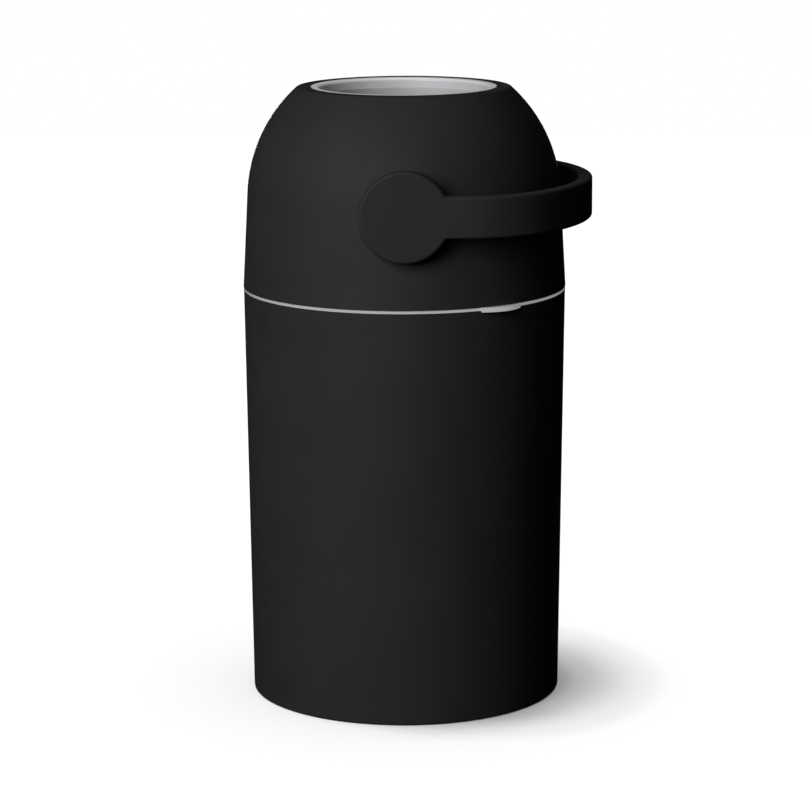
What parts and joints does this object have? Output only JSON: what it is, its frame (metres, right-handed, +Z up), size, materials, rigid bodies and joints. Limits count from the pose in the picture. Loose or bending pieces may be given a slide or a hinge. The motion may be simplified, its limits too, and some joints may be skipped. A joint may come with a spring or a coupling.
{
  "type": "nappy bin",
  "caption": "Round floor-standing nappy bin: tapered bucket with a hinged domed head, whose drum and piston turn over with a broad bail handle to drop the nappy into the bag.",
  "frame": {"origin": "centre of the foot mat's underside, on the floor, on the axis of bucket and head", "axes": "+Z up along the axis of bucket and head, +X towards the handle at rest, Y along the handle's pivot line with -Y at the front"},
  "size_m": [0.2849, 0.2862, 0.5],
  "materials": {
    "black_plastic": "fine matte moulded ABS, black",
    "pale_plastic": "satin moulded ABS, pale grey",
    "rubber": "soft matte elastomer, dark grey",
    "natural_nylon": "satin nylon, natural white",
    "black_nylon": "satin glass-filled nylon, black",
    "steel": "zinc-plated steel",
    "weight_steel": "plain rolled steel",
    "brass": "turned brass"
  },
  "bodies": {
    "base": {"bucket": "black_plastic", "foot_mat": "rubber", "bag_ring": "pale_plastic", "hinge_pin": "steel"},
    "head": {"head_shell": "black_plastic", "inner_frame": "pale_plastic", "upper_cradle": "pale_plastic", "mouth_collar": "pale_plastic", "mouth_seal": "rubber", "throat_seal": "rubber", "rim_gasket": "rubber", "bush_front": "natural_nylon", "bush_back": "natural_nylon", "cradle_screws": "steel", "frame_screws": "steel"},
    "drum": {"drum_half_front": "pale_plastic", "drum_half_back": "pale_plastic", "drum_tube": "pale_plastic", "tube_ring_upper": "pale_plastic", "tube_ring_lower": "pale_plastic", "drum_screws": "steel", "hub_front": "black_nylon", "hub_back": "black_nylon", "hub_screws": "steel", "handle": "black_plastic", "handle_inserts": "brass"},
    "piston": {"piston_upper": "pale_plastic", "piston_lower": "pale_plastic", "piston_wiper": "rubber", "piston_weight": "weight_steel", "piston_screws": "steel"}
  },
  "joints": [
    {"name": "head_hinge", "type": "hinge", "parent": "base", "child": "head", "pos_m": [-0.08101, 0.11357, 0.33645], "axis": [-0.8141, -0.5807, 0], "range_deg": [0, 75]},
    {"name": "handle_turn", "type": "hinge", "parent": "head", "child": "drum", "pos_m": [0, 0, 0.412], "axis": [0, -1, 0], "range_deg": [0, 180]},
    {"name": "piston_drop", "type": "slide", "parent": "drum", "child": "piston", "axis": [0, 0, 1], "range_m": [0, 0.1219]}
  ]
}
